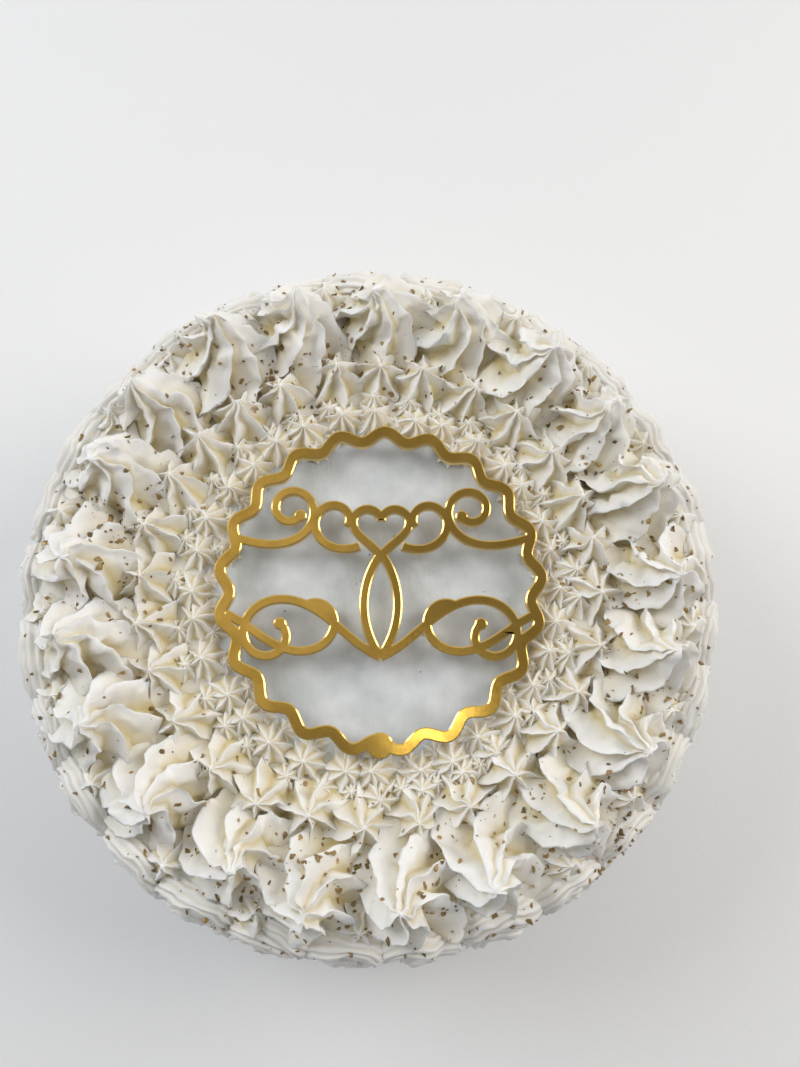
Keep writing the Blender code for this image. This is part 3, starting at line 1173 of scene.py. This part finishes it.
@dataclass
class Coat:
    """The drum of spread icing, whose smooth top shows inside the topper's ring."""

    edge: float = 0.006
    shoulder: float = 0.0095
    rings: int = 72
    spokes: int = 200
    bare_radius: float = 0.0560
    border_fade: float = 0.004
    smear: float = 0.0016
    smear_grain: float = 0.013
    fine_share: float = 0.18
    top_slack: float = 0.001
    seed_size: float = 0.001
    arc_steps: int = 8
    arc_start: float = -60
    arc_end: float = 120
    crease_slack: float = 0.0001
    crease_start: Pair = (-0.0010, -0.0230)
    crease_end: Pair = (-0.0045, -0.0350)
    crease_width: float = 0.0012
    crease_depth: float = 0.0005

    def build(self, icing: Material) -> Item:
        """Grows the drum's profile from one point, spins it and smears its top.

        Args:
            icing: the spread icing's finish.

        Returns:
            The piece.
        """
        bpy.ops.mesh.primitive_plane_add(size=self.seed_size, location=(0, 0, CAKE_HEIGHT))
        drum = made("spread_icing")
        settle(drum)
        with editing(drum):
            select_everything()
            bpy.ops.mesh.merge(type="CENTER")
            for start, end in zip(self._profile(), self._profile()[1:]):
                extrude((end[0] - start[0], 0, end[1] - start[1]))
            select_everything()
            bpy.ops.mesh.spin(
                steps=self.spokes, angle=math.tau, center=ORIGIN, axis=(0, 0, 1), use_auto_merge=True
            )
        face_out(drum)
        self._press_crease(drum)
        self._tint_border(drum)
        top = drum.vertex_groups.new(name="top")
        flat = [vert.index for vert in drum.data.vertices if vert.co.z > CAKE_HEIGHT - self.top_slack]
        top.add(flat, 1.0, "REPLACE")
        displace(drum, self.smear_grain, self.smear, "top")
        displace(drum, self.smear_grain / 4, self.smear * self.fine_share, "top")
        drum.data.shade_smooth()
        return hand_in(drum, icing, Node.CAKE)

    def _tint_border(self, drum: Item) -> None:
        """Marks all of the drum but its bare disc, which is as pale as the piping on it.

        Args:
            drum: the drum.
        """
        depth = drum.data.attributes.new(DEPTH_NAME, "FLOAT", "POINT")
        shares = []
        for vert in drum.data.vertices:
            outside = (vert.co.xy.length - self.bare_radius) / self.border_fade
            shares.append(min(1.0, max(0.0, outside)) if vert.co.z > CAKE_HEIGHT / 2 else 1.0)
        depth.data.foreach_set("value", shares)

    def _profile(self) -> list[Pair]:
        """The drum's half section, from the middle of its top round to the middle of its foot.

        Returns:
            Points as (radius, height).
        """
        middle = CAKE_RADIUS - self.edge
        flat = middle - self.edge
        points = [(flat * ring / self.rings, CAKE_HEIGHT) for ring in range(self.rings + 1)]
        for step in range(self.arc_steps + 1):
            angle = math.radians(blend(self.arc_start, self.arc_end, step / self.arc_steps))
            points.append((
                middle + self.shoulder * math.sin(angle),
                CAKE_HEIGHT - self.edge + self.shoulder * math.cos(angle),
            ))
        points += [(CAKE_RADIUS, CAKE_HEIGHT / 2), (CAKE_RADIUS, 0.0), (0.0, 0.0)]
        return points

    def _press_crease(self, drum: Item) -> None:
        """Presses a fine crease into the top, where a palette knife was lifted.

        Args:
            drum: the drum.
        """
        start, end = Vector(self.crease_start), Vector(self.crease_end)
        along = end - start
        for vert in drum.data.vertices:
            if vert.co.z < CAKE_HEIGHT - self.crease_slack:
                continue
            share = (vert.co.xy - start).dot(along) / along.length_squared
            if not 0 < share < 1:
                continue
            away = (vert.co.xy - start - along * share).length / self.crease_width
            vert.co.z -= self.crease_depth * math.exp(-(away**2)) * math.sin(math.pi * share)


# Gold flakes


@dataclass
class GoldFlakes:
    """Gold leaf flakes strewn over the piping, thickest in a few drifts and down in the folds."""

    even_count: int = 40
    inner: float = 0.064
    outer: float = 0.112
    loose_count: int = 760
    speck_count: int = 680
    disc_specks: int = 16
    disc_reach: float = 0.046
    drift_share: float = 0.6
    drift_spread: float = 0.009
    drifts: tuple[Pair, ...] = (
        (0.094, 93.0), (0.083, 116.0), (0.105, 126.0), (0.093, 47.0), (0.095, 33.0),
        (0.094, 160.0), (0.090, 171.0), (0.106, -46.0), (0.093, -49.0), (0.092, -70.0),
        (0.102, -81.0), (0.091, -99.0), (0.102, -115.0), (0.099, 2.0), (0.094, -17.0),
    )
    corners: int = 6
    length: float = 0.0031
    thickness: float = 0.0005
    shapes: int = 7
    corner_shares: Pair = (0.55, 1.15)
    corner_squeeze: Pair = (0.7, 0.95)
    corner_drift: float = 0.06
    corner_lift: Pair = (-0.16, 0.22)
    tilt: float = 0.4
    widths: Pair = (0.6, 1.0)
    crumpling: float = 0.8
    tone_narrowing: float = 1.5
    even_sizes: Pair = (0.8, 1.1)
    loose_length: float = 0.0014
    speck_length: float = 0.0005
    length_spread: float = 0.5
    disc_lengths: Pair = (0.0005, 0.0011)
    loose_outer: float = 0.119

    def master(self, index: int, rng: random.Random) -> Item:
        """Models one crumpled flake, one unit long.

        Args:
            index: which shape this is.
            rng: draws its outline.

        Returns:
            The flake, lying on the origin.
        """
        bpy.ops.mesh.primitive_circle_add(vertices=self.corners, radius=0.5, fill_type="TRIFAN")
        flake = made(f"flake_master_{index}")
        with editing(flake):
            for corner in range(self.corners + 1):
                select_where(flake, lambda vert, _depth, wanted=corner: vert.index == wanted)
                share = rng.uniform(*self.corner_shares)
                resize((share, share * rng.uniform(*self.corner_squeeze), 1))
                aside = [rng.uniform(-self.corner_drift, self.corner_drift) for _ in range(2)]
                bpy.ops.transform.translate(value=(*aside, rng.uniform(*self.corner_lift)))
            select_everything()
            extrude((0, 0, self.thickness / self.length))
        face_out(flake)
        return flake

    def build(self, icing: Sequence[Item], gold: Material) -> Item:
        """Strews the flakes over the icing.

        Args:
            icing: the pieces that they fall on.
            gold: their finish.

        Returns:
            The piece.
        """
        rng = random.Random(FLAKE_SEED)
        trees = [BVHTree.FromObject(piece, bpy.context.evaluated_depsgraph_get()) for piece in icing]
        masters = [self.master(index, rng) for index in range(self.shapes)]
        flakes = []
        for spot, length in self._spots(rng, trees):
            point, normal = self._fall(trees, spot)
            if point is None:
                continue
            lie = normal.to_track_quat("Z", "Y").to_matrix().to_4x4()
            tilts = [rng.uniform(-self.tilt, self.tilt) for _ in range(2)]
            tilt = Matrix.Rotation(tilts[0], 4, "X") @ Matrix.Rotation(tilts[1], 4, "Y")
            matrix = (
                Matrix.Translation(point)
                @ lie
                @ tilt
                @ Matrix.Rotation(rng.uniform(0, math.tau), 4, "Z")
                @ Matrix.Diagonal((length, length * rng.uniform(*self.widths), length * self.crumpling, 1))
            )
            flake = copy_of(masters[rng.randrange(self.shapes)], f"flake_{len(flakes)}", matrix)
            tone = flake.data.attributes.new(TONE_NAME, "FLOAT", "POINT")
            tone.data.foreach_set("value", [rng.random() ** self.tone_narrowing] * len(flake.data.vertices))
            flakes.append(flake)
        remove_all(masters)
        piece = join_pieces("gold_flakes", flakes)
        return hand_in(piece, gold, Node.CAKE)

    def _spots(self, rng: random.Random, trees: Sequence[BVHTree]) -> list[tuple[Vector, float]]:
        """Where flakes fall from, and how long each is.

        Args:
            rng: draws them.
            trees: the icing, to find the folds with.

        Returns:
            Points and lengths.
        """
        golden = math.degrees(math.pi * (3 - math.sqrt(5)))
        found = []
        for index in range(self.even_count):
            share = (index + 0.5) / self.even_count
            radius = math.sqrt(blend(self.inner**2, self.outer**2, share))
            found.append((on_ring(radius, index * golden), self.length * rng.uniform(*self.even_sizes)))
        total = self.even_count + self.loose_count + self.speck_count
        while len(found) < total:
            choices = [self._loose_spot(rng) for _ in range(2)]
            heights = [(self._fall(trees, spot)[0] or Vector()).z for spot in choices]
            spot = choices[heights.index(min(heights))]
            loose = len(found) < self.even_count + self.loose_count
            base = self.loose_length if loose else self.speck_length
            length = min(self.length, base * math.exp(abs(rng.gauss(0, self.length_spread))))
            found.append((spot, length))
        for _ in range(self.disc_specks):
            radius = self.disc_reach * math.sqrt(rng.random())
            found.append((on_ring(radius, rng.uniform(0, 360)), rng.uniform(*self.disc_lengths)))
        return found

    def _loose_spot(self, rng: random.Random) -> Vector:
        """One place for a loose flake, in a drift or anywhere on the border."""
        if rng.random() < self.drift_share:
            radius, degrees = rng.choice(self.drifts)
            strewn = Vector((rng.gauss(0, 1), rng.gauss(0, 1), 0))
            return on_ring(radius, degrees) + strewn * self.drift_spread
        radius = math.sqrt(rng.uniform(self.inner**2, self.loose_outer**2))
        return on_ring(radius, rng.uniform(0, 360))

    def _fall(self, trees: Sequence[BVHTree], spot: Vector) -> tuple[Vector | None, Vector]:
        """Drops straight down on to the icing.

        Args:
            trees: the icing's pieces.
            spot: where from.

        Returns:
            The highest point hit, or None, and the normal there.
        """
        best, facing = None, Vector((0, 0, 1))
        above = Vector((spot.x, spot.y, 2 * CAKE_HEIGHT))
        for tree in trees:
            point, normal, _face, _distance = tree.ray_cast(above, Vector((0, 0, -1)))
            if point is not None and (best is None or point.z > best.z):
                best, facing = point, normal
        return best, facing


# The topper


@dataclass(frozen=True)
class Scroll:
    """One stroke of the flourish: where it starts and how its bend, in radians a metre, changes."""

    start: Pair
    heading: float
    length: float
    first_bend: float
    last_bend: float
    knob: bool

    def line(self, stride: float) -> list[Vector]:
        """The stroke's middle line.

        Args:
            stride: about how far apart its points are.

        Returns:
            Its points.
        """
        steps = round(self.length / stride)
        step = self.length / steps
        place = Vector(self.start)
        heading = math.radians(self.heading)
        points = [place.copy()]
        for index in range(steps):
            bend = blend(self.first_bend, self.last_bend, (index + 0.5) / steps)
            heading += bend * step / 2
            place += Vector((math.cos(heading), math.sin(heading))) * step
            heading += bend * step / 2
            points.append(place.copy())
        return points


@dataclass
class Topper:
    """The gold topper: a wavy ring that holds a mirrored flourish of scrolls round a heart."""

    wave: float = 0.0018
    waves: int = 21
    band: float = 0.0039
    turned: float = 3.0
    wave_steps: int = 18
    stroke: float = 0.0030
    stride: float = 0.0009
    knob_radius: float = 0.0021
    knob_sides: int = 28
    knob_turn: float = 0.3
    heart_width: float = 0.019
    heart_at: float = 0.019
    heart_steps: int = 40
    heart_units: int = 32
    pad_radius: float = 0.0042
    merged_within: float = 0.00006
    shortest_edge: float = 0.00004
    level_within: float = 1.0
    smooth_below: float = 20.0
    edge_width: float = 0.00045
    edge_drop: float = 0.00025
    scrolls: tuple[Scroll, ...] = (
        Scroll((0.0500, 0.0160), 195.0, 0.066, 4.0, -232.0, True),
        Scroll((0.0072, 0.0132), -22.0, 0.041, 60.0, 215.0, False),
        Scroll((0.0000, -0.0240), 22.0, 0.084, 42.0, -185.0, True),
        Scroll((0.0510, -0.0100), 203.0, 0.058, 40.0, -185.0, False),
        Scroll((0.0000, 0.0106), -54.0, 0.037, -34.0, -34.0, False),
    )

    def build(self, gold: Material) -> Item:
        """Cuts the ring and its strokes, joins them and breaks their edges.

        Args:
            gold: the topper's finish.

        Returns:
            The piece.
        """
        outer, inner = self._sides(self._ring_line(), self.band, True)
        ring = self._plate("gold_topper_piece", (outer, inner))
        helpers = bpy.data.collections.new("strokes")
        bpy.context.scene.collection.children.link(helpers)
        for stroke in self._strokes():
            bpy.context.scene.collection.objects.unlink(stroke)
            helpers.objects.link(stroke)
        join = ring.modifiers.new("join", "BOOLEAN")
        join.operation = "UNION"
        join.operand_type = "COLLECTION"
        join.collection = helpers
        join.solver = "EXACT"
        apply_all(ring)
        remove_all(helpers.objects)
        bpy.data.collections.remove(helpers)
        with editing(ring):
            select_everything()
            bpy.ops.mesh.remove_doubles(threshold=self.merged_within)
            bpy.ops.mesh.dissolve_degenerate(threshold=self.shortest_edge)
            bpy.ops.mesh.dissolve_limited(angle_limit=math.radians(self.level_within))
            top = TOPPER_HIGH.z - 1.5 * self.edge_drop
            select_where(ring, lambda vert, _depth: vert.co.z > top)
            bpy.ops.mesh.inset(thickness=self.edge_width, depth=self.edge_drop, use_even_offset=False)
        pick(ring)
        bpy.ops.object.shade_smooth_by_angle(angle=math.radians(self.smooth_below))
        return hand_in(ring, gold, Node.TOPPER)

    def _strokes(self) -> list[Item]:
        """All that the ring holds, as plates.

        Returns:
            The plates.
        """
        plates = [self._plate("pad", (self._disc(Vector((0, -RING_RADIUS)), self.pad_radius),))]
        lines = [(self._heart_line(), False)]
        lines += [(scroll.line(self.stride), scroll.knob) for scroll in self.scrolls]
        for index, (line, knob) in enumerate(lines):
            for side in (1, -1):
                mirrored = [Vector((side * point.x, point.y)) for point in line]
                left, right = self._sides(mirrored, self.stroke, False)
                plates.append(self._plate(f"stroke_{index}_{side}", (left + right[::-1],)))
                if knob:
                    disc = self._disc(mirrored[-1], self.knob_radius)
                    plates.append(self._plate(f"knob_{index}_{side}", (disc,)))
        return plates

    def _plate(self, name: str, loops: Sequence[Sequence[Vector]]) -> Item:
        """A flat plate of the topper's thickness at its level.

        Args:
            name: the plate's name.
            loops: closed outlines; an inner one is a hole.

        Returns:
            The plate, as a closed mesh.
        """
        curve = bpy.data.curves.new(name, "CURVE")
        curve.dimensions = "2D"
        curve.fill_mode = "BOTH"
        curve.extrude = (TOPPER_HIGH.z - self.edge_drop - TOPPER_LOW.z) / 2
        for loop in loops:
            spline = curve.splines.new("POLY")
            spline.points.add(len(loop) - 1)
            for corner, point in zip(spline.points, loop):
                corner.co = (point.x, point.y, 0, 1)
            spline.use_cyclic_u = True
        plate = bpy.data.objects.new(name, curve)
        bpy.context.scene.collection.objects.link(plate)
        pick(plate)
        bpy.ops.object.convert(target="MESH")
        plate = bpy.context.object
        plate.location = (*TOPPER_CENTRE, TOPPER_LOW.z + curve.extrude)
        settle(plate)
        face_out(plate)
        return plate

    def _ring_line(self) -> list[Vector]:
        """The middle line of the wavy ring."""
        count = self.waves * self.wave_steps
        line = []
        for index in range(count):
            degrees = 360 * index / count
            crest = self.waves * math.radians(degrees - self.turned)
            line.append(on_ring(RING_RADIUS + self.wave * math.cos(crest), degrees).to_2d())
        return line

    def _heart_line(self) -> list[Vector]:
        """The middle line of the heart's right half, from its cleft to its tip: a curve of four cosines."""
        scale = self.heart_width / self.heart_units
        line = []
        for index in range(1, self.heart_steps + 1):
            angle = math.pi * index / self.heart_steps
            x = 16 * math.sin(angle) ** 3
            y = 13 * math.cos(angle) - 5 * math.cos(2 * angle) - 2 * math.cos(3 * angle) - math.cos(4 * angle)
            line.append(Vector((scale * x, self.heart_at + scale * y)))
        return line

    def _disc(self, centre: Vector, radius: float) -> list[Vector]:
        """A round outline, turned a little so that no corner meets one of a stroke."""
        turns = [360 * (index + self.knob_turn) / self.knob_sides for index in range(self.knob_sides)]
        return [centre + on_ring(radius, degrees).to_2d() for degrees in turns]

    def _sides(self, line: Sequence[Vector], width: float, closed: bool) -> tuple[list[Vector], list[Vector]]:
        """The two edges of a band that follows a middle line.

        Args:
            line: the middle line.
            width: of the band.
            closed: whether its end meets its start.

        Returns:
            The left edge and the right edge.
        """
        left, right = [], []
        count = len(line)
        for index, point in enumerate(line):
            before = line[(index - 1) % count] if closed or index else line[0]
            after = line[(index + 1) % count] if closed or index < count - 1 else line[-1]
            along = (after - before).normalized()
            aside = Vector((-along.y, along.x)) * width / 2
            left.append(point + aside)
            right.append(point - aside)
        return left, right


# Camera, floor and light


@dataclass(frozen=True)
class Softbox:
    """One soft lamp: where it hangs, its size, power and colour. It points at the cake."""

    name: str
    place: Triple
    size: float
    power: float
    colour: Triple

    def hang(self, target: Vector) -> None:
        """Adds the lamp.

        Args:
            target: what it points at.
        """
        bpy.ops.object.light_add(type="AREA", location=self.place)
        lamp = made(self.name)
        lamp.data.shape = "DISK"
        lamp.data.size = self.size
        lamp.data.energy = self.power
        lamp.data.color = self.colour
        lamp.rotation_euler = (target - Vector(self.place)).to_track_quat("-Z", "Y").to_euler()


@dataclass
class Studio:
    """The camera that looks down on the cake, the pale floor and the soft lamps."""

    eye: Triple = (0.0039, -0.0484, 0.3745)
    tilt_back: float = 13.1
    tilt_side: float = 1.2
    frame_width: float = 36.0
    focal_share: float = 850 / 800
    nearest: float = 0.01
    floor_size: float = 4.0
    zenith: Triple = (0.23, 0.235, 0.25)
    horizon: Triple = (0.555, 0.555, 0.555)
    dark_side: Triple = (0.05, -1.15, 0.80)
    lamps: tuple[Softbox, ...] = (
        Softbox("window", (-0.90, 0.44, 0.90), 0.8, 7.05, (0.93, 0.96, 1.0)),
        Softbox("room", (0.90, 0.28, 0.85), 0.8, 6.55, (1.0, 0.96, 0.91)),
        Softbox("overhead", (-0.32, 0.22, 1.5), 0.6, 0.55, (1.0, 0.99, 0.96)),
        Softbox("glint", (0.13, -0.02, 2.0), 0.15, 0.60, (1.0, 0.99, 0.80)),
    )

    def build(self, floor: Material) -> None:
        """Sets up camera, floor, world and lamps.

        Args:
            floor: the floor's finish.
        """
        self._camera()
        self._floor(floor)
        self._world()
        for lamp in self.lamps:
            lamp.hang(Vector((0, 0, CAKE_HEIGHT)))
        bpy.context.scene.view_settings.view_transform = "Standard"

    def _camera(self) -> None:
        """Places the camera at the photograph's angle."""
        back = Vector((-math.tan(math.radians(self.tilt_side)), -math.tan(math.radians(self.tilt_back)), 1))
        back.normalize()
        across = Vector((0, 1, 0)).cross(back).normalized()
        up = back.cross(across)
        camera = bpy.data.cameras.new("camera")
        camera.sensor_fit = "HORIZONTAL"
        camera.sensor_width = self.frame_width
        camera.lens = self.frame_width * self.focal_share
        camera.clip_start = self.nearest
        viewer = bpy.data.objects.new("camera", camera)
        bpy.context.scene.collection.objects.link(viewer)
        turned = Matrix((across, up, back)).transposed().to_4x4()
        viewer.matrix_world = Matrix.Translation(self.eye) @ turned
        bpy.context.scene.camera = viewer

    def _floor(self, finish: Material) -> None:
        """Lays the floor.

        Args:
            finish: its material.
        """
        deselect_all()
        bpy.ops.mesh.primitive_plane_add(size=self.floor_size, location=(0, 0, 0))
        floor = made("floor")
        floor.data.materials.append(finish)

    def _world(self) -> None:
        """A plain sky, darker overhead and towards the near side than behind the cake."""
        world = bpy.data.worlds.new("studio")
        world.use_nodes = True
        bpy.context.scene.world = world
        work = NodeWork(world.node_tree)
        sky = world.node_tree.nodes["Background"]
        place = work.add("ShaderNodeTexCoord")
        towards = work.add("ShaderNodeVectorMath", {1: self.dark_side}, operation="DOT_PRODUCT")
        rise = work.add("ShaderNodeMapRange")
        ends = {"A": (*self.horizon, 1.0), "B": (*self.zenith, 1.0)}
        mix = work.add("ShaderNodeMix", ends, data_type="RGBA")
        work.wire(
            (place, "Generated", towards, 0),
            (towards, "Value", rise, "Value"),
            (rise, "Result", mix, "Factor"),
            (mix, "Result", sky, "Color"),
        )


def main() -> None:
    """Builds the studio, the cake and its topper."""
    logging.basicConfig(level=logging.INFO, format="%(name)s %(message)s")
    deselect_all()
    effects = Effects()
    Studio().build(FLOOR.material(effects))
    hand = Hand(random.Random(SEED))
    piped = PIPED.material(effects)
    icing = TopPiping(hand).build(piped)
    # The side rosettes take the darker copy of the piped icing, painted shade for the cake's side.
    icing += SideRosettes(hand).build(SHADED_SIDE_PIPED.material(effects))
    icing.append(Coat().build(SPREAD.material(effects)))
    GoldFlakes().build(icing, GOLD_LEAF.material(effects))
    Topper().build(GOLD_PLATE.material(effects))


if __name__ == "__main__":
    main()
